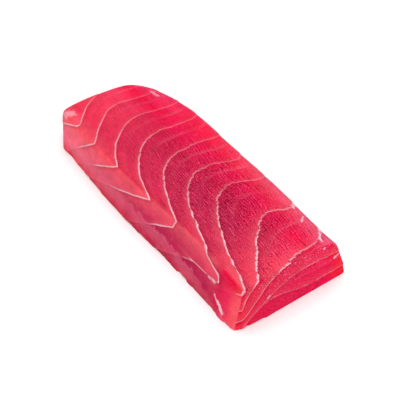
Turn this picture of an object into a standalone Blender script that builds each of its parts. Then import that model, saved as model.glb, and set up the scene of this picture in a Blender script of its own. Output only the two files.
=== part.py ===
"""Raw tuna steak: one thick block, cut square from the loin of a large tuna.

The block lies flat on its cut underside. +X runs along it towards the clean cut near
end, +Y is towards its soft shoulder, +Z is up, and the origin is under its middle.
Its sides lean in, its top is a little crowned and falls towards the far end, and the
far end is rounded off on the side of the soft shoulder.
"""

import math

import bmesh
import bpy
from mathutils import Matrix, Vector

# Driving sizes, in metres
LENGTH = 0.180
BASE_HALF_WIDTH = 0.0369
NEAR_HEIGHT = 0.0300
FAR_HEIGHT = 0.0266

# The left side: nearly straight, with one slow wave from the knife
LEFT_LEAN_FAR = 0.0040
LEFT_LEAN_NEAR = 0.0066
LEFT_WAVE = 0.0013
LEFT_WAVE_LENGTH = 0.120
LEFT_WAVE_CREST = -0.018
LEFT_SHOULDER_DROP = 0.0014

# The right side: it swells a little towards the far end, and bows inwards to a soft shoulder
RIGHT_SWELL = 0.0020
RIGHT_LEAN_FAR = 0.0042
RIGHT_LEAN_NEAR = 0.0090
RIGHT_WAVE = 0.0008
RIGHT_WAVE_LENGTH = 0.080
RIGHT_WAVE_CREST = 0.033
RIGHT_BOW = 1.5
RIGHT_SHOULDER_DROP = 0.0020

# The ends: the near one is a clean cut, and the far one is rounded off to the right
NEAR_FACE_LEAN = 0.0020
NEAR_CORNER_NIP = 0.0026
FAR_FACE_TUCK = 0.0040
FAR_SLANT = 0.0016
FAR_LEFT_SETBACK = 0.0012
FAR_RIGHT_CORNER = 0.069
FAR_RIGHT_NARROWING = 0.56

# How steeply each shape fades away from its own rim or corner, as a power
SHOULDER_FADE = 3
CORNER_FADE = 8
NIP_FADE = 20

# The cage: where the block is cut across, as shares of its length, width and height
STATIONS = (-0.90, -0.70, -0.42, -0.14, 0.14, 0.42, 0.70, 0.92)
COLUMNS = (-0.80, -0.40, 0.00, 0.40, 0.74)
ROWS = (0.34, 0.76)
SUBDIVISION_LEVELS = 2

# How sharp each rim of the block stays, from 0, soft, to 1, a knife's edge
BASE_RIM = 1.0
NEAR_TOP_RIM = 0.55
NEAR_LEFT_RIM = 0.70
NEAR_RIGHT_RIM = 0.45
LEFT_SHOULDER_RIM = 0.20
RIM_TOLERANCE = 1e-5

FLESH_COLOUR = (0.70, 0.045, 0.105, 1.0)
FLESH_ROUGHNESS = 0.38


def blend(start, end, share):
    """The value a share of the way from start to end."""
    return start + (end - start) * share


def clear_scene():
    """Removes whatever the opened file holds."""
    for obj in list(bpy.data.objects):
        bpy.data.objects.remove(obj)


def wave(x, height, length, crest):
    """The slow wave that the knife leaves along a side."""
    return height * math.cos(math.tau * (x - crest) / length)


def left_edge(x):
    """The left side's foot, measured from the middle line."""
    return -BASE_HALF_WIDTH - wave(x, LEFT_WAVE, LEFT_WAVE_LENGTH, LEFT_WAVE_CREST)


def right_edge(x):
    """The right side's foot, with the far corner carried round in part of an ellipse."""
    swell = RIGHT_SWELL * (0.5 - x / LENGTH)
    edge = BASE_HALF_WIDTH + swell + wave(x, RIGHT_WAVE, RIGHT_WAVE_LENGTH, RIGHT_WAVE_CREST)
    into_corner = (FAR_RIGHT_CORNER - LENGTH / 2 - x) / FAR_RIGHT_CORNER
    if into_corner > 0:
        edge *= 1 - FAR_RIGHT_NARROWING * (1 - math.sqrt(max(0.0, 1 - into_corner ** 2)))
    return edge


def crest_height(along):
    """The height of the top along the middle line."""
    return blend(FAR_HEIGHT, NEAR_HEIGHT, (along + 1) / 2)


def near_end_shift(across, up):
    """How far the near face stands back from a square cut, most at its foot's left corner."""
    nip = NEAR_CORNER_NIP * max(0.0, -across) ** CORNER_FADE * (1 - up)
    return -NEAR_FACE_LEAN * up - nip


def far_end_shift(across, up):
    """How far the far face stands back: its foot is tucked under, and it slants a little."""
    left_corner = FAR_LEFT_SETBACK * max(0.0, -across) ** CORNER_FADE
    return left_corner + FAR_SLANT * (across + 1) / 2 + FAR_FACE_TUCK * (1 - up)


def placed(along, across, up):
    """Where a point of the plain block, -1 to 1 along and across and 0 to 1 up, is on the steak."""
    x = along * LENGTH / 2
    left_lean = blend(LEFT_LEAN_FAR, LEFT_LEAN_NEAR, (along + 1) / 2)
    right_lean = blend(RIGHT_LEAN_FAR, RIGHT_LEAN_NEAR, (along + 1) / 2)
    left = left_edge(x) + left_lean * up
    if along > 0:
        left += NEAR_CORNER_NIP * along ** NIP_FADE * (1 - up)
    right = right_edge(x) - right_lean * up ** RIGHT_BOW
    y = blend(left, right, (across + 1) / 2)
    drop = LEFT_SHOULDER_DROP if across < 0 else RIGHT_SHOULDER_DROP
    z = (crest_height(along) - drop * abs(across) ** SHOULDER_FADE) * up
    shift = near_end_shift(across, up) if along > 0 else far_end_shift(across, up)
    return Vector((x + shift * along ** CORNER_FADE, y, z))


def cut_block():
    """A two by two by one block, cut across at every station, column and row."""
    mesh = bmesh.new()
    bmesh.ops.create_cube(mesh, size=2.0)
    bmesh.ops.translate(mesh, verts=mesh.verts, vec=(0, 0, 1))
    bmesh.ops.scale(mesh, verts=mesh.verts, vec=(1, 1, 0.5))
    cuts = [(Vector((s, 0, 0)), Vector((1, 0, 0))) for s in STATIONS]
    cuts += [(Vector((0, c, 0)), Vector((0, 1, 0))) for c in COLUMNS]
    cuts += [(Vector((0, 0, r)), Vector((0, 0, 1))) for r in ROWS]
    for point, normal in cuts:
        everything = mesh.verts[:] + mesh.edges[:] + mesh.faces[:]
        bmesh.ops.bisect_plane(mesh, geom=everything, plane_co=point, plane_no=normal)
    return mesh


def rim_sharpness(edge):
    """The crease of an edge of the plain block, by which rims it lies on."""
    first, second = (v.co for v in edge.verts)

    def both(axis, value):
        return max(abs(first[axis] - value), abs(second[axis] - value)) < RIM_TOLERANCE

    if both(2, 0) and (both(0, 1) or both(0, -1) or both(1, 1) or both(1, -1)):
        return BASE_RIM
    if both(0, 1) and both(2, 1):
        return NEAR_TOP_RIM
    if both(0, 1) and both(1, -1):
        return NEAR_LEFT_RIM
    if both(0, 1) and both(1, 1):
        return NEAR_RIGHT_RIM
    if both(1, -1) and both(2, 1):
        return LEFT_SHOULDER_RIM
    return 0.0


def flesh_material():
    """Plain raw tuna: crimson and moist."""
    material = bpy.data.materials.new("raw_tuna_flesh")
    material.use_nodes = True
    shader = material.node_tree.nodes["Principled BSDF"]
    shader.inputs["Base Color"].default_value = FLESH_COLOUR
    shader.inputs["Roughness"].default_value = FLESH_ROUGHNESS
    shader.inputs["Metallic"].default_value = 0.0
    return material


def centre_on_origin(steak):
    """Slides the cage along and across until the rounded block's box is centred."""
    rounded = steak.evaluated_get(bpy.context.evaluated_depsgraph_get())
    points = [vertex.co for vertex in rounded.to_mesh().vertices]
    middle = [(min(p[axis] for p in points) + max(p[axis] for p in points)) / 2 for axis in (0, 1)]
    rounded.to_mesh_clear()
    steak.data.transform(Matrix.Translation((-middle[0], -middle[1], 0.0)))


def make_steak(collection):
    """The whole steak: the cut block, put in its form and rounded by subdivision."""
    cage = cut_block()
    crease = cage.edges.layers.float.new("crease_edge")
    for edge in cage.edges:
        edge[crease] = rim_sharpness(edge)
    for vertex in cage.verts:
        vertex.co = placed(*vertex.co)
    bmesh.ops.recalc_face_normals(cage, faces=cage.faces)
    mesh = bpy.data.meshes.new("tuna_steak")
    cage.to_mesh(mesh)
    cage.free()
    mesh.shade_smooth()
    steak = bpy.data.objects.new("tuna_steak", mesh)
    collection.objects.link(steak)
    steak.data.materials.append(flesh_material())
    rounding = steak.modifiers.new("Rounding", "SUBSURF")
    rounding.levels = SUBDIVISION_LEVELS
    rounding.render_levels = SUBDIVISION_LEVELS
    centre_on_origin(steak)


def main():
    clear_scene()
    collection = bpy.data.collections.new("raw_tuna_steak")
    bpy.context.scene.collection.children.link(collection)
    make_steak(collection)


main()
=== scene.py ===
# %% [markdown]
# # A raw tuna steak
#
# The object is one thick block cut from the lean back muscle of a tuna. A long knife has
# left a smooth top, two long sides and two ends, and every cut face shows the same thing:
# curved flakes of dark red muscle, parted by thin sheets of pale connective tissue.
#
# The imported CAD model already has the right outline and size, so it is loaded first, as a
# fixed frame. All that follows dresses that frame: a fine skin mesh with the low steps of
# the flakes, and a flesh material whose seams, fibres and flecks follow the same rule.

# %%
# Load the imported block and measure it

import math

import bmesh
import bpy
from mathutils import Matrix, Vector


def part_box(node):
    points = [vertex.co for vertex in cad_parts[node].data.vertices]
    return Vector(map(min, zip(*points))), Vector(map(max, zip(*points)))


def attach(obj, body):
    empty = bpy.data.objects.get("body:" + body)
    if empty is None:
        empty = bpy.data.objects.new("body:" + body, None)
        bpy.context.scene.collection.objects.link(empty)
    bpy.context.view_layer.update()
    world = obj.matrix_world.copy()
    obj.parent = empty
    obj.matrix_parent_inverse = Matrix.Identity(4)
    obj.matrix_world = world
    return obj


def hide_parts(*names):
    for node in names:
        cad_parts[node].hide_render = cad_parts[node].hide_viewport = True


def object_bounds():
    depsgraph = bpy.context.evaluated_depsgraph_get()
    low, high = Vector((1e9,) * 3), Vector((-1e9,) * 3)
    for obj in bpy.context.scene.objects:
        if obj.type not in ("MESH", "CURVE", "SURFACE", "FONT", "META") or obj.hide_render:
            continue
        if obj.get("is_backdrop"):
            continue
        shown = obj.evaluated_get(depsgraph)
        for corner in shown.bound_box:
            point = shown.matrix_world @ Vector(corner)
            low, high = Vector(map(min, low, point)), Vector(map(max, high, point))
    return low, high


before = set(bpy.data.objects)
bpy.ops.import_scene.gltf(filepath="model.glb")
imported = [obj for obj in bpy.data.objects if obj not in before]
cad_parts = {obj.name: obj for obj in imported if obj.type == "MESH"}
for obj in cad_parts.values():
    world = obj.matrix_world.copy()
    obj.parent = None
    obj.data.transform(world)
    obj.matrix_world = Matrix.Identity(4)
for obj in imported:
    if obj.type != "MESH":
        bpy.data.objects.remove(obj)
cad_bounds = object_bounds()
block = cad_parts["tuna_steak"]
low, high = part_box("tuna_steak")
MM = 0.001
block_size = [round((b - a) / MM, 2) for a, b in zip(low, high)]
print("tuna_steak measures", block_size, "mm")

# %% [markdown]
# ## One helper for nodes, one for colours
#
# Node trees take many lines when each node is made, set and linked by hand. One small
# function does all three: its loose arguments feed the sockets in order, `sockets` feeds
# those that are easier to name, and the rest are the node's own settings. It returns an
# output socket, which can feed the next node at once.
#
# Colours are written as the sRGB hex values that a paint chart would give. Blender works
# in linear light, so one function turns them.

# %%
# Helpers: linear colour, and a node with its settings and links


def linear(shade):
    """An sRGB hex colour, or a grey level, as linear red, green, blue and alpha."""
    if not isinstance(shade, str):
        return [shade, shade, shade, 1]
    levels = [int(shade[i : i + 2], 16) / 255 for i in (1, 3, 5)]
    return [v / 12.92 if v <= 0.04045 else ((v + 0.055) / 1.055) ** 2.4 for v in levels] + [1]


def add(tree, kind, *feeds, out=0, sockets=None, stops=None, **settings):
    """Adds one node, sets it, feeds its sockets, and returns the output named by out."""
    node = tree.nodes.new(kind)
    for name, value in settings.items():
        setattr(node, name, value)
    if stops:
        elements = node.color_ramp.elements
        while len(elements) < len(stops):
            elements.new(1)
        for element, (place, shade) in zip(elements, stops):
            element.position = place
            element.color = linear(shade)
    for key, feed in list(enumerate(feeds)) + list((sockets or {}).items()):
        if isinstance(feed, bpy.types.NodeSocket):
            tree.links.new(feed, node.inputs[key])
        elif isinstance(feed, str) and feed.startswith("#"):
            node.inputs[key].default_value = linear(feed)
        elif feed is not None:
            node.inputs[key].default_value = feed
    return node.outputs[out]


MATH = "ShaderNodeMath"
VECTOR = "ShaderNodeVectorMath"
RANGE = "ShaderNodeMapRange"
MIX = "ShaderNodeMix"
NOISE = "ShaderNodeTexNoise"
SPLIT = "ShaderNodeSeparateXYZ"
RAMP = "ShaderNodeValToRGB"


def new_group(name, kind, inputs, outputs):
    """A node group with named sockets; returns the tree, what comes in and what goes out."""
    tree = bpy.data.node_groups.new(name, kind)
    for label, socket_type, value in inputs:
        socket = tree.interface.new_socket(label, in_out="INPUT", socket_type=socket_type)
        if value is not None:
            socket.default_value = value
    for label, socket_type in outputs:
        tree.interface.new_socket(label, in_out="OUTPUT", socket_type=socket_type)
    return tree, tree.nodes.new("NodeGroupInput").outputs, tree.nodes.new("NodeGroupOutput")


print("flesh red #d0224c is", [round(v, 3) for v in linear("#d0224c")][:3], "in linear light")

# %% [markdown]
# ## Camera
#
# The block is seen from above one of its long sides and a little past its near end. The
# camera stands on a line from the middle of the block, given by its bearing and its height
# above the horizon, and a long lens keeps the far end from shrinking much.

# %%
# Camera

AIM = Vector((11.17, -2.78, 14.0)) * MM
BEARING = math.radians(54.51)
ELEVATION = math.radians(44.32)
DISTANCE = 575 * MM
LENS = 94.36

back = Vector(
    (
        math.sin(BEARING) * math.cos(ELEVATION),
        -math.cos(BEARING) * math.cos(ELEVATION),
        math.sin(ELEVATION),
    )
)
camera_data = bpy.data.cameras.new("camera")
camera_data.lens = LENS
camera_data.sensor_width = 36
camera_data.clip_start = 0.01
camera_data.clip_end = 10
camera = bpy.data.objects.new("camera", camera_data)
camera.location = AIM + back * DISTANCE
camera.rotation_euler = (-back).to_track_quat("-Z", "Y").to_euler()
bpy.context.scene.collection.objects.link(camera)
bpy.context.scene.camera = camera
print("camera at", [round(v, 3) for v in camera.location], "m with a", LENS, "mm lens")

# %% [markdown]
# ## Floor and light
#
# Food is usually lit by a large soft box over a white sweep, so that its wet surface shows
# no hard shadow. An almost white world gives most of the light, one large area lamp over
# the near end adds a little shape, and the floor is plain matt white.

# %%
# Floor, world and lamps

REACH = 3.0
floor_mesh = bpy.data.meshes.new("floor")
floor_mesh.from_pydata(
    [(-REACH, -REACH, 0), (REACH, -REACH, 0), (REACH, REACH, 0), (-REACH, REACH, 0)],
    [],
    [(0, 1, 2, 3)],
)
floor = bpy.data.objects.new("floor", floor_mesh)
bpy.context.scene.collection.objects.link(floor)
floor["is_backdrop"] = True

paper = bpy.data.materials.new("matt_white_paper")
paper.use_nodes = True
paper_shader = paper.node_tree.nodes["Principled BSDF"]
paper_shader.inputs["Base Color"].default_value = linear("#f7f7f7")
paper_shader.inputs["Roughness"].default_value = 0.9
paper_shader.inputs["Specular IOR Level"].default_value = 0.0
floor_mesh.materials.append(paper)

ROOM_LIGHT = 0.58
world = bpy.data.worlds.new("soft_box_room")
world.use_nodes = True
world.node_tree.nodes["Background"].inputs["Color"].default_value = linear("#ffffff")
world.node_tree.nodes["Background"].inputs["Strength"].default_value = ROOM_LIGHT
bpy.context.scene.world = world

LAMPS = [
    # name, place in metres, width in metres, power in watts
    ("overhead_soft_box", (0.0, 0.05, 1.0), 0.9, 7.2),
    ("near_end_soft_box", (0.9, -0.5, 0.5), 0.6, 4.4),
]
for name, place, width, power in LAMPS:
    lamp_data = bpy.data.lights.new(name, "AREA")
    lamp_data.shape = "SQUARE"
    lamp_data.size = width
    lamp_data.energy = power
    lamp = bpy.data.objects.new(name, lamp_data)
    lamp.location = place
    lamp.rotation_euler = (AIM - lamp.location).to_track_quat("-Z", "Y").to_euler()
    bpy.context.scene.collection.objects.link(lamp)

bpy.context.scene.view_settings.view_transform = "Standard"
print("floor", 2 * REACH, "m wide,", len(LAMPS), "lamps")

# %% [markdown]
# ## The rule of the seams
#
# The muscle of a fish is stacked in nested cones, like paper cups. A seam of connective
# tissue parts each cup from the next. A knife cut along the body meets the cups as a row
# of curved lines: each runs straight across one half of the top, turns at an apex, sweeps
# back along the other half, and ends at the shoulder in a sharp tip. On the side it comes
# back again, leaning with the depth.
#
# So one rule draws every seam. In millimetres, a seam lies at
#
#     along = middle + sweep * t^bend + (tip + tongue * lobe) * t^14 + run * s - dip * depth
#
# where t goes from 0 at the apex to 1 at the left shoulder, s eases from 0 to 1 on the
# right of the apex, and depth is counted down from the top face. The lobe is 1 just above
# the seam's own level on the side wall and fades upwards from it and below it. Each row of
# the table is one seam, from the far end to the near end.

# %%
# The table of seams

LEFT_SHOULDER = -31.5
RIGHT_EASE = 25.0
TIP_POWER = 14.0
LOBE_UNDER = (-2.1, -0.5)
LOBE_LEFT_UNDER = 0.38
LOBE_ABOVE = (8.7, 1.0)
LOBE_BLUNTNESS = 0.7
TOP = (high.z - low.z) / MM

SEAM_INPUTS = ("Middle", "Apex", "Sweep", "Bend", "Tip", "Run", "Dip", "Tongue", "Level")
SEAMS = [
    # middle, apex, sweep, bend, tip, run, dip, tongue, level of the tongue
    (-79.9, 3.1, 23.5, 2.64, -2.5, 3, 2.15, 0, 17.5),
    (-68.4, -4.6, 22.6, 1.55, 0.3, 3.5, 1.2, 0, 17.5),
    (-51, -0.4, 25.7, 1.85, 5, 4.1, 1.64, 0, 17.5),
    (-30.8, 2.7, 35.5, 2.31, 10.8, 3.6, 2.45, 0, 17.5),
    (-12.4, 7.4, 47.8, 2.85, 1.6, 3.6, 1.7, 5, 27.2),
    (6.9, 4.3, 60.2, 2.38, 2.8, 6.8, 2.2, 24, 17.5),
    (24.9, 6.1, 69.2, 1.95, 1.5, 8.3, 1.9, 0, 17.5),
    (53.9, 10.2, 50.6, 1.54, 25, 10.3, 2.72, 0, 17.5),
    (83.9, 13.4, 43.3, 2.98, -6.8, -6, 1.43, 0, 17.5),
    (96.1, 4.3, 19.3, 1.5, 3.6, 1.2, 1, 0, 17.5),
    (106.1, -11.4, 12.3, 2.67, -1.1, 4.8, 1, 0, 17.5),
]
FIRST_GAP = 17.0
LAST_GAP = 40.0
print(len(SEAMS), "seams, from", SEAMS[0][0], "to", SEAMS[-1][0], "mm along the middle")

# %% [markdown]
# ## The rule as a node group
#
# The first group works out one seam's place along the block. The tongue is a blunt lobe
# that a seam pushes out over the left wall: one seam has a long one, a third of the way
# down, and the seam before it a short one, close under the shoulder.
#
# The second group counts seams. It gives 3.0 on the third seam, 4.0 on the fourth, and
# the values between them in the flake that lies between. It is used for everything: the
# distance to the nearest seam, the step of each flake and the colour across it. A gentle
# wander keeps the lines from looking drawn with a ruler, and sheets may touch but never
# cross.

# %%
# Node groups: one seam, and the count of seams

one_seam, given, result = new_group(
    "one seam",
    "GeometryNodeTree",
    [(label, "NodeSocketFloat", 0.0) for label in ("Across", "Height") + SEAM_INPUTS],
    [("Along", "NodeSocketFloat")],
)
across, height = given["Across"], given["Height"]
t = add(one_seam, RANGE, across, given["Apex"], LEFT_SHOULDER, 0.0, 1.0)
right_end = add(one_seam, MATH, given["Apex"], RIGHT_EASE, operation="ADD")
right = add(
    one_seam, RANGE, across, given["Apex"], right_end, 0.0, given["Run"],
    interpolation_type="SMOOTHSTEP",
)
shoulder = add(one_seam, MATH, t, TIP_POWER, operation="POWER")
sweep = add(one_seam, MATH, t, given["Bend"], operation="POWER")
depth = add(one_seam, MATH, TOP, height, operation="SUBTRACT")
over = add(one_seam, MATH, height, given["Level"], operation="SUBTRACT")
under = add(
    one_seam, RANGE, over, *LOBE_UNDER, LOBE_LEFT_UNDER, 1.0, interpolation_type="SMOOTHSTEP"
)
above = add(one_seam, RANGE, over, *LOBE_ABOVE, 0.0, 1.0)
above = add(one_seam, MATH, above, LOBE_BLUNTNESS, operation="POWER")
lobe = add(one_seam, MATH, under, above, operation="MULTIPLY")
lobe = add(one_seam, MATH, lobe, shoulder, operation="MULTIPLY")
along = add(one_seam, MATH, sweep, given["Sweep"], given["Middle"], operation="MULTIPLY_ADD")
along = add(one_seam, MATH, shoulder, given["Tip"], along, operation="MULTIPLY_ADD")
along = add(one_seam, MATH, lobe, given["Tongue"], along, operation="MULTIPLY_ADD")
along = add(one_seam, MATH, along, right, operation="ADD")
sunk = add(one_seam, MATH, depth, given["Dip"], operation="MULTIPLY")
along = add(one_seam, MATH, along, sunk, operation="SUBTRACT")
one_seam.links.new(along, result.inputs["Along"])

WANDER = 0.35
WANDER_SIZE = 9.0
LEAST_FLAKE = 0.6

seam_count, given, result = new_group(
    "seam count",
    "GeometryNodeTree",
    [("Position", "NodeSocketVector", None)],
    [("Count", "NodeSocketFloat")],
)
place = add(seam_count, VECTOR, given["Position"], out=0, sockets={"Scale": 1 / MM}, operation="SCALE")
noise = add(seam_count, NOISE, place, out=1, sockets={"Scale": 1 / WANDER_SIZE, "Detail": 1.5})
noise = add(seam_count, VECTOR, noise, (0.5, 0.5, 0.5), operation="SUBTRACT")
noise = add(seam_count, VECTOR, noise, sockets={"Scale": 2 * WANDER}, operation="SCALE")
place = add(seam_count, VECTOR, place, noise, operation="ADD")
x = add(seam_count, SPLIT, place)
y, z = x.node.outputs[1], x.node.outputs[2]
lines = []
for row in SEAMS:
    feeds = {"Across": y, "Height": z, **dict(zip(SEAM_INPUTS, row))}
    line = add(seam_count, "GeometryNodeGroup", out="Along", sockets=feeds, node_tree=one_seam)
    if lines:
        nearest_allowed = add(seam_count, MATH, lines[-1], LEAST_FLAKE, operation="ADD")
        line = add(seam_count, MATH, line, nearest_allowed, operation="MAXIMUM")
    lines.append(line)

before = add(seam_count, MATH, x, lines[0], operation="SUBTRACT")
before = add(seam_count, MATH, before, FIRST_GAP, operation="DIVIDE")
before = add(seam_count, MATH, before, 0.0, operation="MINIMUM")
count = add(seam_count, MATH, before, 1.0, operation="ADD")
for this_line, next_line in zip(lines, lines[1:]):
    step = add(seam_count, RANGE, x, this_line, next_line, 0.0, 1.0)
    count = add(seam_count, MATH, count, step, operation="ADD")
beyond = add(seam_count, MATH, x, lines[-1], operation="SUBTRACT")
beyond = add(seam_count, MATH, beyond, LAST_GAP, operation="DIVIDE")
beyond = add(seam_count, MATH, beyond, 0.0, operation="MAXIMUM")
count = add(seam_count, MATH, count, beyond, operation="ADD")
seam_count.links.new(count, result.inputs["Count"])
print("seam count group has", len(seam_count.nodes), "nodes")

# %% [markdown]
# ## The flesh mesh
#
# The CAD block has a few thousand large triangles: right for collision, too coarse for a
# flake edge that is a fraction of a millimetre high. A copy of it is welded and remeshed
# to small even squares, and a Geometry Nodes tree then shapes that skin:
#
# - the squares are relaxed, so that no stair of the remesh is left,
# - the seam count, the width of one flake and the direction of the skin are stored on the
#   mesh, where the material reads them,
# - each flake slopes up to its near edge, and drops at the seam, as cut raw fish does; the
#   ledges are highest on the near end, where the knife pulled the flakes apart,
# - broad lumps and a ragged lower edge take away the look of a machined block.
#
# Last, the skin is held inside the box of the CAD block.

# %%
# Geometry Nodes tree for the skin

REMESH_SIZE = 0.72
NORMAL_BLUR = 5
PROBE = 0.5
WIDEST_FLAKE = 60.0
RAG_HEIGHT = 5.0

skin_tree, given, result = new_group(
    "flaky skin",
    "GeometryNodeTree",
    [
        ("Geometry", "NodeSocketGeometry", None),
        ("Relax Steps", "NodeSocketInt", 3),
        ("Swell", "NodeSocketFloat", 0.35),
        ("Flake Step", "NodeSocketFloat", 0.34),
        ("End Step", "NodeSocketFloat", 0.75),
        ("Step Width", "NodeSocketFloat", 1.4),
        ("Lump Height", "NodeSocketFloat", 0.45),
        ("Lump Size", "NodeSocketFloat", 12.0),
        ("Rag Depth", "NodeSocketFloat", 0.9),
        ("Rag Size", "NodeSocketFloat", 7.0),
        ("Lowest", "NodeSocketVector", None),
        ("Highest", "NodeSocketVector", None),
        ("Flesh", "NodeSocketMaterial", None),
    ],
    [("Geometry", "NodeSocketGeometry")],
)
STORE = "GeometryNodeStoreNamedAttribute"
FETCH = "GeometryNodeInputNamedAttribute"
BLUR = "GeometryNodeBlurAttribute"
MOVE = "GeometryNodeSetPosition"

position = add(skin_tree, "GeometryNodeInputPosition")
relaxed = add(skin_tree, BLUR, position, given["Relax Steps"], data_type="FLOAT_VECTOR")
mesh = add(skin_tree, MOVE, given["Geometry"], sockets={"Position": relaxed})

normal = add(skin_tree, "GeometryNodeInputNormal")
facing = add(skin_tree, BLUR, normal, NORMAL_BLUR, data_type="FLOAT_VECTOR")
facing = add(skin_tree, VECTOR, facing, operation="NORMALIZE")
mesh = add(
    skin_tree, STORE, mesh, sockets={"Name": "facing", "Value": facing}, data_type="FLOAT_VECTOR"
)
facing = add(skin_tree, FETCH, "facing", data_type="FLOAT_VECTOR")

# The slope of the count along the skin gives how many millimetres one flake is wide.
counts = []
for offset in ((0, 0, 0), (PROBE, 0, 0), (0, PROBE, 0), (0, 0, PROBE)):
    spot = add(skin_tree, VECTOR, position, [v * MM for v in offset], operation="ADD")
    counts.append(add(skin_tree, "GeometryNodeGroup", spot, node_tree=seam_count))
changes = [add(skin_tree, MATH, c, counts[0], operation="SUBTRACT") for c in counts[1:]]
gradient = add(skin_tree, "ShaderNodeCombineXYZ", *changes)
gradient = add(skin_tree, VECTOR, gradient, sockets={"Scale": 1 / PROBE}, operation="SCALE")
leaving = add(skin_tree, VECTOR, gradient, facing, out="Value", operation="DOT_PRODUCT")
leaving = add(skin_tree, VECTOR, facing, sockets={"Scale": leaving}, operation="SCALE")
gradient = add(skin_tree, VECTOR, gradient, leaving, operation="SUBTRACT")
slope = add(skin_tree, VECTOR, gradient, out="Value", operation="LENGTH")
slope = add(skin_tree, MATH, slope, 1 / WIDEST_FLAKE, operation="MAXIMUM")
flake_width = add(skin_tree, MATH, 1.0, slope, operation="DIVIDE")
mesh = add(skin_tree, STORE, mesh, sockets={"Name": "seam", "Value": counts[0]}, data_type="FLOAT")
mesh = add(
    skin_tree, STORE, mesh, sockets={"Name": "flake_width", "Value": flake_width}, data_type="FLOAT"
)

# Each flake: low just past its seam, rising to full height at the next one.
seam = add(skin_tree, FETCH, "seam", data_type="FLOAT")
width = add(skin_tree, FETCH, "flake_width", data_type="FLOAT")
share = add(skin_tree, MATH, seam, operation="FRACT")
past = add(skin_tree, MATH, share, width, operation="MULTIPLY")
drop = add(
    skin_tree, RANGE, past, 0.0, given["Step Width"], 0.0, 1.0, interpolation_type="SMOOTHSTEP"
)
still_low = add(skin_tree, MATH, 1.0, share, operation="SUBTRACT")
drop = add(skin_tree, MATH, drop, still_low, operation="MULTIPLY")
facing_end = add(skin_tree, SPLIT, facing)
upright = facing_end.node.outputs[2]
step_height = add(skin_tree, RANGE, facing_end, 0.4, 0.8, given["Flake Step"], given["End Step"])
drop = add(skin_tree, MATH, drop, step_height, operation="MULTIPLY")

in_mm = add(skin_tree, VECTOR, position, sockets={"Scale": 1 / MM}, operation="SCALE")
lump_scale = add(skin_tree, MATH, 1.0, given["Lump Size"], operation="DIVIDE")
lumps = add(skin_tree, NOISE, in_mm, sockets={"Scale": lump_scale, "Detail": 2.5})
lumps = add(skin_tree, MATH, lumps, given["Lump Height"], operation="MULTIPLY")

rag_scale = add(skin_tree, MATH, 1.0, given["Rag Size"], operation="DIVIDE")
rags = add(skin_tree, NOISE, in_mm, sockets={"Scale": rag_scale, "Detail": 3.0})
rags = add(skin_tree, RANGE, rags, 0.5, 0.7, 0.0, given["Rag Depth"])
level = add(skin_tree, SPLIT, in_mm, out=2)
near_base = add(skin_tree, RANGE, level, RAG_HEIGHT, 0.5, 0.0, 1.0, interpolation_type="SMOOTHSTEP")
upright = add(skin_tree, MATH, upright, operation="ABSOLUTE")
upright = add(skin_tree, RANGE, upright, 0.9, 0.4, 0.0, 1.0)
rags = add(skin_tree, MATH, rags, near_base, operation="MULTIPLY")
rags = add(skin_tree, MATH, rags, upright, operation="MULTIPLY")

sink = add(skin_tree, MATH, drop, lumps, operation="ADD")
sink = add(skin_tree, MATH, sink, rags, operation="ADD")
sink = add(skin_tree, MATH, sink, given["Swell"], operation="SUBTRACT")
sink = add(skin_tree, MATH, sink, -MM, operation="MULTIPLY")
offset = add(skin_tree, VECTOR, facing, sockets={"Scale": sink}, operation="SCALE")
moved = add(skin_tree, VECTOR, position, offset, operation="ADD")
moved = add(skin_tree, VECTOR, moved, given["Lowest"], operation="MAXIMUM")
moved = add(skin_tree, VECTOR, moved, given["Highest"], operation="MINIMUM")
mesh = add(skin_tree, MOVE, mesh, sockets={"Position": moved})
mesh = add(skin_tree, "GeometryNodeRealizeInstances", mesh)
mesh = add(skin_tree, "GeometryNodeSetMaterial", mesh, sockets={"Material": given["Flesh"]})
skin_tree.links.new(mesh, result.inputs["Geometry"])
print("flaky skin tree has", len(skin_tree.nodes), "nodes")

# %% [markdown]
# ## The flesh material
#
# Raw lean tuna is wet, dense muscle, cut with a sharp knife. The eye reads it from a few
# things, which the eight parts below add one by one:
#
# - a deep crimson core, brighter towards the ends, and salmon pink along the left shoulder,
# - flakes that are lighter before a seam and darker just past it,
# - fine fibres that run with the length of the block, and a soft mottle,
# - faint inner seams, and a film of connective tissue low on the left wall,
# - pale seams about a millimetre wide, broken into small teeth where the fibres end,
# - flecks of white fat on the edges,
# - a very weak wet sheen, because soft light from all sides leaves no highlight on it.

# %%
# Flesh material, part one: where each point lies

flesh = bpy.data.materials.new("raw_tuna_flesh")
flesh.use_nodes = True
tree = flesh.node_tree
shader = tree.nodes["Principled BSDF"]

place = add(tree, "ShaderNodeTexCoord", out="Object")
place = add(tree, VECTOR, place, sockets={"Scale": 1 / MM}, operation="SCALE")
x = add(tree, SPLIT, place)
y, z = x.node.outputs[1], x.node.outputs[2]
facing = add(tree, "ShaderNodeAttribute", out="Vector", attribute_name="facing")
face_x = add(tree, SPLIT, facing)
face_y, face_z = face_x.node.outputs[1], face_x.node.outputs[2]
seam = add(tree, "ShaderNodeAttribute", out="Fac", attribute_name="seam")
width = add(tree, "ShaderNodeAttribute", out="Fac", attribute_name="flake_width")

away_left = add(tree, MATH, face_y, -1.0, operation="MULTIPLY")
left_wall = add(tree, RANGE, away_left, 0.35, 0.8, 0.0, 1.0, interpolation_type="SMOOTHSTEP")
right_wall = add(tree, RANGE, face_y, 0.35, 0.8, 0.0, 1.0, interpolation_type="SMOOTHSTEP")
near_end = add(tree, RANGE, face_x, 0.5, 0.7, 0.0, 1.0, interpolation_type="SMOOTHSTEP")


def on_scale(stops, start, end):
    """Ramp stops given in millimetres, as shares of the way from start to end."""
    return [((mm - start) / (end - start), shade) for mm, shade in stops]


print("flesh reads facing, seam and flake_width from the mesh")

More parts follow.
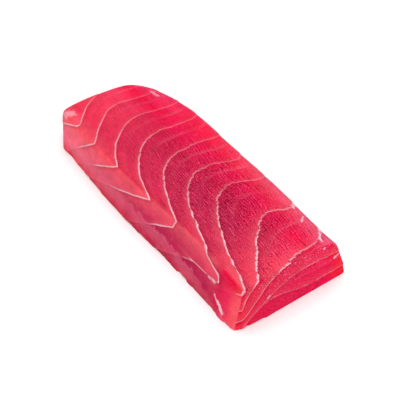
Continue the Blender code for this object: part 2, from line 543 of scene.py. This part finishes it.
# %% [markdown]
# The broad colour is set first. Two ramps give the colour of the top from the left shoulder
# to the right one: one for the dark middle of the block, one for its paler ends. A third
# one says how much of each to use along the block. The right rim is painted paler, as a
# painted sheen where the shoulder is seen at a glancing angle. The left wall has two ramps
# by height, one for its far part and one for its middle, and two along it for the corner
# next to the near end. The near end has one ramp across.

# %%
# Flesh material, part two: broad colours

HALF = 38.0
LENGTH_SPAN = 90.0

CORE_ACROSS = [
    (-36, "#c91a31"), (-24, "#c12348"), (-10, "#b41441"), (2, "#b70036"), (12, "#d50945"),
    (22, "#e20032"), (34, "#ff2142"),
]
ENDS_ACROSS = [
    (-36, "#ff6b79"), (-24, "#e32e4a"), (-10, "#ec3851"), (2, "#ec3859"), (12, "#e60038"),
    (22, "#e23864"), (34, "#d3005e"),
]
CORE_ALONG = [(-88, 0), (-60, 0.4), (-30, 0.81), (0, 0.91), (34, 1), (52, 0.9), (70, 0.54), (88, 0)]
WALL_CORE = [(0, "#ba002e"), (9, "#ba0e4c"), (15, "#c1244f"), (21, "#d73d58"), (27, "#dd505f")]
WALL_FAR = [(0, "#e01b35"), (9, "#ed637a"), (18, "#ef6071"), (27, "#f1414e")]
WALL_END_LOW = [(60, "#dd545e"), (70, "#d10040"), (78, "#e81c4e"), (83, "#ee4a57"), (88, "#ee5a65")]
WALL_END_HIGH = [(60, "#ce0040"), (70, "#e00040"), (78, "#d90034"), (88, "#fc002a")]
NEAR_ACROSS = [(-33, "#e01436"), (-22, "#dc0943"), (0, "#e7124c"), (22, "#ee0049"), (33, "#ef0124")]

across = add(tree, RANGE, y, -HALF, HALF, 0.0, 1.0)
lengthways = add(tree, RANGE, x, -LENGTH_SPAN, LENGTH_SPAN, 0.0, 1.0)
upward = add(tree, RANGE, z, 0.0, TOP, 0.0, 1.0)
core = add(tree, RAMP, across, stops=on_scale(CORE_ACROSS, -HALF, HALF))
ends = add(tree, RAMP, across, stops=on_scale(ENDS_ACROSS, -HALF, HALF))
core_share = add(tree, RAMP, lengthways, stops=on_scale(CORE_ALONG, -LENGTH_SPAN, LENGTH_SPAN))
colour = add(tree, MIX, out=2, sockets={0: core_share, 6: ends, 7: core}, data_type="RGBA")
# Painted sheen: the right rim is lightened towards pale pink, where the shoulder is seen at a glancing
# angle.
painted_sheen_across = add(tree, RANGE, y, 15.0, 34.0, 0.0, 0.8, interpolation_type="SMOOTHSTEP")
painted_sheen_along = add(tree, RANGE, x, -30.0, 60.0, 0.0, 1.0, interpolation_type="SMOOTHSTEP")
painted_rim_sheen = add(tree, MATH, painted_sheen_across, painted_sheen_along, operation="MULTIPLY")
colour = add(tree, MIX, out=2, sockets={0: painted_rim_sheen, 6: colour, 7: "#f07088"}, data_type="RGBA")
colour = add(tree, MIX, out=2, sockets={0: right_wall, 6: colour, 7: "#d82850"}, data_type="RGBA")

wall_core = add(tree, RAMP, upward, stops=on_scale(WALL_CORE, 0, TOP))
wall_far = add(tree, RAMP, upward, stops=on_scale(WALL_FAR, 0, TOP))
wall_share = add(tree, RANGE, x, -75.0, 15.0, 0.0, 1.0)
wall = add(tree, MIX, out=2, sockets={0: wall_share, 6: wall_far, 7: wall_core}, data_type="RGBA")
end_low = add(tree, RAMP, lengthways, stops=on_scale(WALL_END_LOW, -LENGTH_SPAN, LENGTH_SPAN))
end_high = add(tree, RAMP, lengthways, stops=on_scale(WALL_END_HIGH, -LENGTH_SPAN, LENGTH_SPAN))
high_share = add(tree, RANGE, z, 20.5, 25.5, 0.0, 1.0, interpolation_type="SMOOTHSTEP")
corner = add(tree, MIX, out=2, sockets={0: high_share, 6: end_low, 7: end_high}, data_type="RGBA")
wall_end = add(tree, RANGE, x, 60.0, 72.0, 0.0, 1.0, interpolation_type="SMOOTHSTEP")
wall = add(tree, MIX, out=2, sockets={0: wall_end, 6: wall, 7: corner}, data_type="RGBA")
colour = add(tree, MIX, out=2, sockets={0: left_wall, 6: colour, 7: wall}, data_type="RGBA")
end_face = add(tree, RAMP, across, stops=on_scale(NEAR_ACROSS, -HALF, HALF))
colour = add(tree, MIX, out=2, sockets={0: near_end, 6: colour, 7: end_face}, data_type="RGBA")
stop_count = sum(
    len(ramp)
    for ramp in (
        CORE_ACROSS, ENDS_ACROSS, WALL_CORE, WALL_FAR, WALL_END_LOW, WALL_END_HIGH, NEAR_ACROSS
    )
)
print("broad colours from", stop_count, "stops")

# %% [markdown]
# Within one flake the flesh goes from dark, just past a seam, to salmon, just before the
# next one. The near half of the block shows this most, because its flakes are the widest.

# %%
# Flesh material, part three: dark to light across each flake

FAR_CONTRAST = 0.16
NEAR_CONTRAST = 0.48

flake_share = add(tree, MATH, seam, operation="FRACT")
tilt = add(tree, MATH, flake_share, 0.5, operation="SUBTRACT")
flake_depth = add(
    tree, RANGE, x, 10.0, 60.0, FAR_CONTRAST, NEAR_CONTRAST, interpolation_type="SMOOTHSTEP"
)
off_right = add(tree, RANGE, y, 2.0, 20.0, 1.0, 0.15, interpolation_type="SMOOTHSTEP")
off_end = add(tree, RANGE, near_end, 0.0, 1.0, 1.0, 0.1)
flake_depth = add(tree, MATH, flake_depth, off_right, operation="MULTIPLY")
past_tongue = add(tree, RANGE, seam, 6.3, 6.6, 0.0, 1.0)
off_wall_end = add(tree, MATH, left_wall, past_tongue, operation="MULTIPLY")
off_wall_end = add(tree, MATH, 1.0, off_wall_end, operation="SUBTRACT")
flake_depth = add(tree, MATH, flake_depth, off_end, operation="MULTIPLY")
flake_depth = add(tree, MATH, flake_depth, off_wall_end, operation="MULTIPLY")
flake_tone = add(tree, MATH, tilt, flake_depth, 1.0, operation="MULTIPLY_ADD")
colour = add(tree, VECTOR, colour, sockets={"Scale": flake_tone}, operation="SCALE")
print("a flake varies by up to", round(100 * NEAR_CONTRAST), "% of its own brightness")

# %% [markdown]
# Muscle fibres are about a tenth of a millimetre thick, too fine to see from here, but
# they lie side by side in bundles of a little over a millimetre, all along the block. A sine wave
# across the bundles draws them, and a patchy noise lets each show for a few millimetres
# only: a painted highlight where a bundle catches the light, painted shade in the gap beside
# it. On the near end the bundles are cut across, so only fine grain is left there.

# %%
# Flesh material, part four: fibres and mottle

FIBRE_PITCH = 1.4
PATCH_SIZE = 2.2
PATCH_STRETCH = 0.35
GRAIN_SIZE = 0.46
GRAIN_DEPTH = 4.2
MOTTLE_SIZE = 5.0
CLOUD_SIZE = 16.0
DRIFT = 3.0
DRIFT_SIZE = 32.0
LEAN_ALONG = 0.08
LEAN_UP = 0.8
PHASE_SHIFT = 12.0

drift = add(tree, NOISE, place, sockets={"Scale": 1 / DRIFT_SIZE, "Detail": 0.0})
lean = add(tree, MATH, x, LEAN_ALONG, y, operation="MULTIPLY_ADD")
lean = add(tree, MATH, z, LEAN_UP, lean, operation="MULTIPLY_ADD")
lean = add(tree, MATH, drift, DRIFT, lean, operation="MULTIPLY_ADD")
squeezed = add(tree, MATH, x, PATCH_STRETCH, operation="MULTIPLY")
along_fibres = add(tree, "ShaderNodeCombineXYZ", squeezed, lean, z)
patch = add(tree, NOISE, along_fibres, sockets={"Scale": 1 / PATCH_SIZE, "Detail": 1.0})
phase = add(tree, MATH, lean, math.tau / FIBRE_PITCH, operation="MULTIPLY")
phase = add(tree, MATH, patch, PHASE_SHIFT, phase, operation="MULTIPLY_ADD")
bundles = add(tree, MATH, phase, operation="SINE")
breaks = add(tree, NOISE, along_fibres, sockets={"Scale": 1.3 / PATCH_SIZE, "Detail": 2.0})
shown = add(tree, RANGE, breaks, 0.42, 0.62, 0.05, 0.85)
bundles = add(tree, MATH, bundles, shown, operation="MULTIPLY")
lengthwise = add(tree, MATH, 1.0, near_end, operation="SUBTRACT")
bundles = add(tree, MATH, bundles, lengthwise, operation="MULTIPLY")
grains = add(tree, NOISE, place, sockets={"Scale": 1 / GRAIN_SIZE, "Detail": 0.5})
mottle = add(tree, NOISE, place, sockets={"Scale": 1 / MOTTLE_SIZE, "Detail": 4.0, "Roughness": 0.6})
cloud = add(tree, NOISE, place, sockets={"Scale": 1 / CLOUD_SIZE, "Detail": 2.0, "Roughness": 0.5})

plain_far = add(tree, RANGE, x, -60.0, 25.0, 0.35, 1.0, interpolation_type="SMOOTHSTEP")
off_core = add(tree, MATH, y, operation="ABSOLUTE")
plain_side = add(tree, RANGE, off_core, 12.0, 30.0, 1.0, 0.55, interpolation_type="SMOOTHSTEP")
plain_wall = add(tree, RANGE, left_wall, 0.0, 1.0, 1.0, 0.45)
fibre_share = add(tree, MATH, plain_far, plain_side, operation="MULTIPLY")
fibre_share = add(tree, MATH, fibre_share, plain_wall, operation="MULTIPLY")
streak = add(tree, MATH, grains, 0.5, operation="SUBTRACT")
streak = add(tree, MATH, streak, GRAIN_DEPTH, bundles, operation="MULTIPLY_ADD")
# Painted highlight on each bundle that catches the light, and painted shade in the gap beside it.
brightest_fibre_glint = add(tree, RANGE, near_end, 0.0, 1.0, 0.6, 0.22)
painted_fibre_glint = add(tree, RANGE, streak, 0.15, 1.25, 0.0, brightest_fibre_glint)
painted_fibre_glint = add(tree, MATH, painted_fibre_glint, fibre_share, operation="MULTIPLY")
painted_fibre_gap_shade = add(tree, RANGE, streak, 0.1, -1.0, 0.0, 0.75)
painted_fibre_gap_shade = add(tree, MATH, painted_fibre_gap_shade, fibre_share, operation="MULTIPLY")
colour = add(tree, MIX, out=2, sockets={0: painted_fibre_glint, 6: colour, 7: "#e25c7e"}, data_type="RGBA")
colour = add(tree, MIX, out=2, sockets={0: painted_fibre_gap_shade, 6: colour, 7: "#5a0018"}, data_type="RGBA")
mottle_tone = add(tree, RANGE, mottle, 0.3, 0.7, 0.88, 1.12)
cloud_tone = add(tree, RANGE, cloud, 0.3, 0.7, 0.95, 1.05)
tone = add(tree, MATH, mottle_tone, cloud_tone, operation="MULTIPLY")
colour = add(tree, VECTOR, colour, sockets={"Scale": tone}, operation="SCALE")
patch_length = round(PATCH_SIZE / PATCH_STRETCH, 1)
print("bundles of fibres are", FIBRE_PITCH, "mm apart and show for about", patch_length, "mm")

# %% [markdown]
# Two more things break up the flesh. On the right half each flake has a fainter seam of its
# own, a little under half way to the next. And on the left side a film of connective
# tissue lies on the lower wall as a dusky pink sheet. Its upper edge is a thin, broken,
# pale line, and on the near half the muscle just above it is bare and dark.

# %%
# Flesh material, part five: faint inner seams, and the film on the left wall

inner = add(tree, MATH, seam, 0.06, operation="ADD")
inner = add(tree, MATH, inner, operation="FRACT")
inner = add(tree, MATH, inner, 0.5, operation="SUBTRACT")
inner = add(tree, MATH, inner, width, operation="MULTIPLY")
inner = add(tree, MATH, mottle, 2.4, inner, operation="MULTIPLY_ADD")
inner_rise = add(tree, RANGE, inner, -2.2, 1.2, 0.0, 1.0, interpolation_type="SMOOTHSTEP")
inner_fall = add(tree, RANGE, inner, 1.8, 1.2, 0.0, 1.0, interpolation_type="SMOOTHSTEP")
inner = add(tree, MATH, inner_rise, inner_fall, operation="MULTIPLY")
on_right = add(tree, RANGE, y, -12.0, 10.0, 0.05, 0.2, interpolation_type="SMOOTHSTEP")
patchy = add(tree, RANGE, cloud, 0.38, 0.55, 0.3, 1.0)
inner = add(tree, MATH, inner, on_right, operation="MULTIPLY")
inner = add(tree, MATH, inner, patchy, operation="MULTIPLY")
colour = add(tree, MIX, out=2, sockets={0: inner, 6: colour, 7: "#d87084"}, data_type="RGBA")

FILM_EDGE = [
    # along the block, height of the edge as a share of the block's height
    (-90, 0.2), (-70, 0.36), (-30, 0.4), (0, 0.4), (28, 0.38), (42, 0.28), (50, 0.28),
    (60, 0.2), (70, 0.08), (90, 0.0),
]
film_edge = add(tree, RAMP, lengthways, stops=on_scale(FILM_EDGE, -LENGTH_SPAN, LENGTH_SPAN))
film_edge = add(tree, MATH, film_edge, TOP, operation="MULTIPLY")
above = add(tree, MATH, z, film_edge, operation="SUBTRACT")
above = add(tree, MATH, mottle, 14.0, above, operation="MULTIPLY_ADD")
above = add(tree, MATH, above, 7.0, operation="SUBTRACT")
film_top = add(tree, RANGE, above, 2.4, -1.6, 0.0, 1.0, interpolation_type="SMOOTHSTEP")
film_low = add(tree, RANGE, above, -10.0, -4.0, 0.25, 1.0, interpolation_type="SMOOTHSTEP")
film = add(tree, MATH, film_top, film_low, operation="MULTIPLY")
film_wrinkle = add(tree, RANGE, cloud, 0.35, 0.65, 0.1, 0.36)
film = add(tree, MATH, film, film_wrinkle, operation="MULTIPLY")
edge_rise = add(tree, RANGE, above, -1.2, 0.0, 0.0, 1.0, interpolation_type="SMOOTHSTEP")
edge_fall = add(tree, RANGE, above, 0.9, 0.2, 0.0, 1.0, interpolation_type="SMOOTHSTEP")
edge = add(tree, MATH, edge_rise, edge_fall, operation="MULTIPLY")
edge_share = add(tree, RANGE, cloud, 0.4, 0.6, 0.0, 0.3)
edge = add(tree, MATH, edge, edge_share, operation="MULTIPLY")
film = add(tree, MATH, film, edge, operation="ADD")
film = add(tree, MATH, film, left_wall, operation="MULTIPLY")
bare_low = add(tree, RANGE, above, -1.0, 2.6, 0.0, 1.0, interpolation_type="SMOOTHSTEP")
bare_high = add(tree, RANGE, above, 8.0, 3.0, 0.0, 0.42, interpolation_type="SMOOTHSTEP")
bare_along = add(tree, RANGE, x, -25.0, 5.0, 0.0, 1.0, interpolation_type="SMOOTHSTEP")
bare_end = add(tree, RANGE, x, 74.0, 62.0, 0.0, 1.0, interpolation_type="SMOOTHSTEP")
bare = add(tree, MATH, bare_low, bare_high, operation="MULTIPLY")
bare = add(tree, MATH, bare, bare_end, operation="MULTIPLY")
bare = add(tree, MATH, bare, bare_along, operation="MULTIPLY")
bare = add(tree, MATH, bare, left_wall, operation="MULTIPLY")
colour = add(tree, MIX, out=2, sockets={0: bare, 6: colour, 7: "#a80a3a"}, data_type="RGBA")
colour = add(tree, MIX, out=2, sockets={0: film, 6: colour, 7: "#de7488"}, data_type="RGBA")
print("inner seams on the right half, film on the left wall")

# %% [markdown]
# The distance to the nearest seam is the seam count's distance to a whole number, times
# the width of a flake. Two rows of saw teeth along the fibres, one fine and one coarse,
# and a stretched noise move that distance a little, which makes the seam ragged. The flake
# fades to salmon before the seam, the seam ends sharply, and the next flake starts darker,
# with a painted shadow where it starts lower. On the near end a crimson band, partly deeper
# flesh and partly a painted shadow under each ledge, and a few dark hollows of painted
# shade take the place of that fade.

# %%
# Flesh material, part six: seams

TOOTH = 2.0
TOOTH_DEPTH = 0.9
NICK = 9.0
NICK_DEPTH = 1.0
JOG = 6.0
JOG_DEPTH = 0.5
SWELL_SIZE = 5.0
STRONGEST = 0.95

nearest = add(tree, MATH, seam, 0.5, operation="ADD")
nearest = add(tree, MATH, nearest, operation="FRACT")
nearest = add(tree, MATH, nearest, 0.5, operation="SUBTRACT")
distance = add(tree, MATH, nearest, width, operation="MULTIPLY")
tooth_share = add(tree, RANGE, x, -60.0, 30.0, 0.3, 1.0)
smooth_wall = add(tree, RANGE, left_wall, 0.0, 1.0, 1.0, 0.3)
tooth_share = add(tree, MATH, tooth_share, smooth_wall, operation="MULTIPLY")
for size, depth in ((TOOTH, TOOTH_DEPTH), (NICK, NICK_DEPTH)):
    row = add(tree, MATH, lean, 1 / size, mottle, operation="MULTIPLY_ADD")
    row_number = add(tree, MATH, row, operation="FLOOR")
    row_height = add(tree, "ShaderNodeTexWhiteNoise", sockets={"W": row_number}, noise_dimensions="1D")
    saw = add(tree, MATH, row, operation="FRACT")
    saw = add(tree, MATH, saw, row_height, operation="MULTIPLY")
    saw = add(tree, MATH, saw, tooth_share, operation="MULTIPLY")
    distance = add(tree, MATH, saw, -depth, distance, operation="MULTIPLY_ADD")
jogs = add(tree, NOISE, along_fibres, sockets={"Scale": 1 / JOG, "Detail": 1.5})
jogs = add(tree, MATH, jogs, 0.5, operation="SUBTRACT")
distance = add(tree, MATH, jogs, JOG_DEPTH, distance, operation="MULTIPLY_ADD")

swell = add(tree, NOISE, place, sockets={"Scale": 1 / SWELL_SIZE, "Detail": 2.0})
start = add(tree, RANGE, swell, 0.3, 0.7, -0.7, -1.0)
rise = add(tree, RANGE, distance, start, -0.1, 0.0, 1.0, interpolation_type="SMOOTHSTEP")
fall = add(tree, RANGE, distance, 0.4, 0.1, 0.0, 1.0, interpolation_type="SMOOTHSTEP")
line = add(tree, MATH, rise, fall, operation="MULTIPLY")
broken = add(tree, RANGE, swell, 0.3, 0.6, 0.7, 1.1)
line = add(tree, MATH, line, broken, operation="MULTIPLY")
halo_width = add(tree, RANGE, x, 10.0, 60.0, -3.5, -8.0, interpolation_type="SMOOTHSTEP")
halo = add(tree, RANGE, distance, halo_width, -0.4, 0.0, 1.0)
halo = add(tree, MATH, halo, 1.6, operation="POWER")
halo = add(tree, MATH, halo, fall, operation="MULTIPLY")
before_shadow = add(tree, RANGE, distance, 0.2, 0.6, 0.0, 1.0)
after_shadow = add(tree, RANGE, distance, 3.0, 0.8, 0.0, 0.3, interpolation_type="SMOOTHSTEP")
shadow = add(tree, MATH, before_shadow, after_shadow, operation="MULTIPLY")

# Strong on the left shoulder, thinner to the right, and gone low on the side wall.
LINE_ACROSS = [(-36, 0.9), (-26, 0.78), (-14, 0.48), (-2, 0.28), (10, 0.17), (36, 0.17)]
by_side = add(tree, RAMP, across, stops=on_scale(LINE_ACROSS, -HALF, HALF))
near_boost = add(tree, RANGE, x, 15.0, 60.0, 1.0, 2.3, interpolation_type="SMOOTHSTEP")
by_side = add(tree, MATH, by_side, near_boost, operation="MULTIPLY")
far_fade = add(tree, RANGE, x, -75.0, -20.0, 0.65, 1.0, interpolation_type="SMOOTHSTEP")
by_side = add(tree, MATH, by_side, far_fade, operation="MULTIPLY")
by_side = add(tree, MATH, by_side, STRONGEST, operation="MINIMUM")
by_height = add(tree, RANGE, z, 10.5, 17.0, 0.06, 0.85, interpolation_type="SMOOTHSTEP")
up_to_tongue = add(tree, RANGE, seam, 6.45, 6.55, 1.0, 0.0)
near_rim = add(tree, RANGE, z, 22.5, 26.0, 0.0, 1.0)
kept = add(tree, MATH, up_to_tongue, near_rim, operation="MAXIMUM")
wall_strength = add(tree, MATH, by_height, kept, operation="MULTIPLY")
strength = add(tree, MIX, sockets={0: left_wall, 2: by_side, 3: wall_strength})
end_strength = add(tree, RANGE, z, 21.0, 29.0, 0.3, 0.6)
first_on_end = add(tree, RANGE, seam, 9.4, 9.6, 1.5, 1.0)
end_strength = add(tree, MATH, end_strength, first_on_end, operation="MULTIPLY")
strength = add(tree, MIX, sockets={0: near_end, 2: strength, 3: end_strength})
line = add(tree, MATH, line, strength, operation="MULTIPLY")
halo_share = add(tree, RANGE, strength, 0.0, 0.8, 0.1, 0.55)
halo = add(tree, MATH, halo, halo_share, operation="MULTIPLY")
shadow = add(tree, MATH, shadow, strength, operation="MULTIPLY")
# Deeper crimson flesh, and a painted shadow under each ledge on the near end.
crimson_and_ledge_shadow = add(tree, RANGE, distance, 4.5, 1.5, 0.0, 0.75, interpolation_type="SMOOTHSTEP")
crimson_and_ledge_shadow = add(tree, MATH, crimson_and_ledge_shadow, before_shadow, operation="MULTIPLY")
upper_seams = add(tree, RANGE, seam, 9.5, 9.6, 1.0, 0.3)
crimson_and_ledge_shadow = add(tree, MATH, crimson_and_ledge_shadow, upper_seams, operation="MULTIPLY")
crimson_and_ledge_shadow = add(tree, MATH, crimson_and_ledge_shadow, near_end, operation="MULTIPLY")
colour = add(tree, MIX, out=2, sockets={0: crimson_and_ledge_shadow, 6: colour, 7: "#cc0038"}, data_type="RGBA")
# Painted shade in a few dark hollows on the near end.
painted_hollow_shade = add(tree, RANGE, mottle, 0.5, 0.66, 0.0, 0.65, interpolation_type="SMOOTHSTEP")
hollow_shade_side = add(tree, RANGE, y, -14.0, 8.0, 0.2, 1.0, interpolation_type="SMOOTHSTEP")
painted_hollow_shade = add(tree, MATH, painted_hollow_shade, hollow_shade_side, operation="MULTIPLY")
painted_hollow_shade = add(tree, MATH, painted_hollow_shade, near_end, operation="MULTIPLY")
colour = add(tree, MIX, out=2, sockets={0: painted_hollow_shade, 6: colour, 7: "#a80034"}, data_type="RGBA")
# Painted shadow just past each seam, where the next flake starts lower.
colour = add(tree, MIX, out=2, sockets={0: shadow, 6: colour, 7: "#8c002c"}, data_type="RGBA")
colour = add(tree, MIX, out=2, sockets={0: halo, 6: colour, 7: "#cc545c"}, data_type="RGBA")
colour = add(tree, MIX, out=2, sockets={0: line, 6: colour, 7: "#e6b0ba"}, data_type="RGBA")
print("seam teeth are", TOOTH, "mm apart and up to", TOOTH_DEPTH, "mm deep")

# %% [markdown]
# Flecks of white fat cling to the edges: one on the far left corner, a few threads along
# the right shoulder, some slivers on the near left wall and four small ones on the near
# end. Each is a short thread from one point to another, with a rim that a noise breaks up.
# The near end also has fine pale specks under its top rim, painted highlights where cut fibres catch
# light.

# %%
# Flesh material, part seven: flecks of fat, and painted glints on the near end

FLECK_NOISE_SIZE = 2.2
FLECKS = [
    # start, end, radius, strength
    ((-84, -31, 24.0), (-81, -28.5, 26.0), 3.0, 0.36),
    ((-71, 20, 26.0), (-66, 21, 26.0), 1.4, 0.36),
    ((51.5, 29, 25.8), (55.5, 26, 27.6), 1.0, 0.6),
    ((54.0, 26, 27.6), (54.5, 29, 25.8), 0.8, 0.55),
    ((63.5, 26, 27.2), (67, 22, 28.4), 0.8, 0.55),
    ((73, 28.6, 26.0), (81.6, 22.2, 28.6), 1.0, 0.85),
    ((81.6, 22.2, 28.6), (88, 20, 27.0), 0.8, 0.8),
    ((68.2, -34.5, 9.9), (70.2, -34.9, 8.6), 0.8, 0.6),
    ((71.6, -35, 8.0), (76.4, -35.8, 4.9), 1.6, 0.85),
    ((88, 28.0, 16.2), (88.2, 31.5, 17.6), 0.9, 0.6),
    ((61.5, -33.7, 16.4), (66.3, -33.3, 17.2), 1.4, 0.6),
    ((88, -7.5, 29.3), (88.5, -9.5, 28.5), 1.0, 0.6),
    ((88.5, -12.5, 26.8), (88.5, -13.5, 26.2), 0.9, 0.6),
    ((88.5, -15.2, 15.2), (88.5, -16.2, 14.6), 0.7, 0.6),
]
thread_group, given, result = new_group(
    "thread of fat",
    "ShaderNodeTree",
    [
        ("Position", "NodeSocketVector", None),
        ("Start", "NodeSocketVector", None),
        ("Run", "NodeSocketVector", None),
        ("Radius", "NodeSocketFloat", 1.0),
        ("Noise", "NodeSocketFloat", 0.5),
    ],
    [("Mask", "NodeSocketFloat")],
)
offset = add(thread_group, VECTOR, given["Position"], given["Start"], operation="SUBTRACT")
run = given["Run"]
reach = add(thread_group, VECTOR, offset, run, out="Value", operation="DOT_PRODUCT")
full = add(thread_group, VECTOR, run, run, out="Value", operation="DOT_PRODUCT")
reach = add(thread_group, MATH, reach, full, operation="DIVIDE", use_clamp=True)
nearest_point = add(thread_group, VECTOR, run, sockets={"Scale": reach}, operation="SCALE")
gap = add(thread_group, VECTOR, offset, nearest_point, out="Value", operation="DISTANCE")
gap = add(thread_group, MATH, gap, given["Radius"], operation="DIVIDE")
gap = add(thread_group, MATH, given["Noise"], -2.2, gap, operation="MULTIPLY_ADD")
mask = add(thread_group, RANGE, gap, 0.05, -0.75, 0.0, 1.0, interpolation_type="SMOOTHSTEP")
thread_group.links.new(mask, result.inputs["Mask"])

# Painted highlights: fine pale specks under the top rim of the near end, where cut fibres catch light.
painted_speck_glints = add(tree, RANGE, grains, 0.66, 0.76, 0.0, 0.7)
speck_glint_fade = add(tree, RANGE, z, 14.0, 24.0, 0.1, 1.0)
painted_speck_glints = add(tree, MATH, painted_speck_glints, speck_glint_fade, operation="MULTIPLY")
# This mask holds the painted speck glints as well as the fat flecks.
fat = add(tree, MATH, painted_speck_glints, near_end, operation="MULTIPLY")
fleck_noise = add(tree, NOISE, place, sockets={"Scale": 1 / FLECK_NOISE_SIZE, "Detail": 3.0})
for start, end, radius, strength in FLECKS:
    run = [b - a for a, b in zip(start, end)]
    feeds = (place, start, run, radius, fleck_noise)
    mask = add(tree, "ShaderNodeGroup", *feeds, node_tree=thread_group)
    mask = add(tree, MATH, mask, strength, operation="MULTIPLY")
    fat = add(tree, MATH, fat, mask, operation="MAXIMUM")
# One pale colour paints the fat flecks and the painted speck glints.
colour = add(tree, MIX, out=2, sockets={0: fat, 6: colour, 7: "#e6c4d0"}, data_type="RGBA")
print(len(FLECKS), "flecks of fat")

# %% [markdown]
# Wet muscle has an IOR of about 1.38, a little above that of water. Its sheen is kept far
# below the usual level, so that the reds stay deep, and the relief of fibres and seams is
# only a fraction of a millimetre.

# %%
# Flesh material, part eight: shader settings

RELIEF = 0.25

tree.links.new(colour, shader.inputs["Base Color"])
shader.inputs["Roughness"].default_value = 0.42
shader.inputs["Specular IOR Level"].default_value = 0.04
shader.inputs["IOR"].default_value = 1.38

relief = add(tree, MATH, streak, 0.25, operation="MULTIPLY")
relief = add(tree, MATH, line, 0.6, relief, operation="MULTIPLY_ADD")
bump = add(
    tree, "ShaderNodeBump",
    sockets={"Strength": 0.6, "Distance": RELIEF * MM, "Height": relief},
)
tree.links.new(bump, shader.inputs["Normal"])
print("raw_tuna_flesh has", len(tree.nodes), "nodes")

# %% [markdown]
# ## Make the skin
#
# The copy of the block is welded first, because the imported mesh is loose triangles. The
# remesh and the tree are then applied, so that what is left is one plain closed mesh.

# %%
# Build the flesh piece

skin_mesh = block.data.copy()
skin_mesh.materials.clear()
weld = bmesh.new()
weld.from_mesh(skin_mesh)
bmesh.ops.remove_doubles(weld, verts=weld.verts, dist=0.01 * MM)
weld.to_mesh(skin_mesh)
weld.free()
draft = bpy.data.objects.new("draft", skin_mesh)
bpy.context.scene.collection.objects.link(draft)

remesh = draft.modifiers.new("even squares", "REMESH")
remesh.mode = "VOXEL"
remesh.voxel_size = REMESH_SIZE * MM
shaping = draft.modifiers.new("flaky skin", "NODES")
shaping.node_group = skin_tree
sockets = {
    item.name: item.identifier
    for item in skin_tree.interface.items_tree
    if item.in_out == "INPUT"
}
shaping[sockets["Flesh"]] = flesh
shaping[sockets["Lowest"]] = low
shaping[sockets["Highest"]] = high

depsgraph = bpy.context.evaluated_depsgraph_get()
steak_mesh = bpy.data.meshes.new_from_object(draft.evaluated_get(depsgraph))
steak_mesh.name = "tuna_flesh"
bpy.data.objects.remove(draft)
steak_mesh.shade_smooth()
steak = bpy.data.objects.new("tuna_flesh", steak_mesh)
bpy.context.scene.collection.objects.link(steak)
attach(steak, "root")
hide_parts("tuna_steak")
steak_mesh.calc_loop_triangles()
print("tuna_flesh has", len(steak_mesh.loop_triangles), "triangles")

# %%
# Sizes of the CAD block and the visual mesh

shown_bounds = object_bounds()
for label, (start, end) in (("cad", cad_bounds), ("visual", shown_bounds)):
    print(label, [round(v / MM, 2) for v in start], [round(v / MM, 2) for v in end])
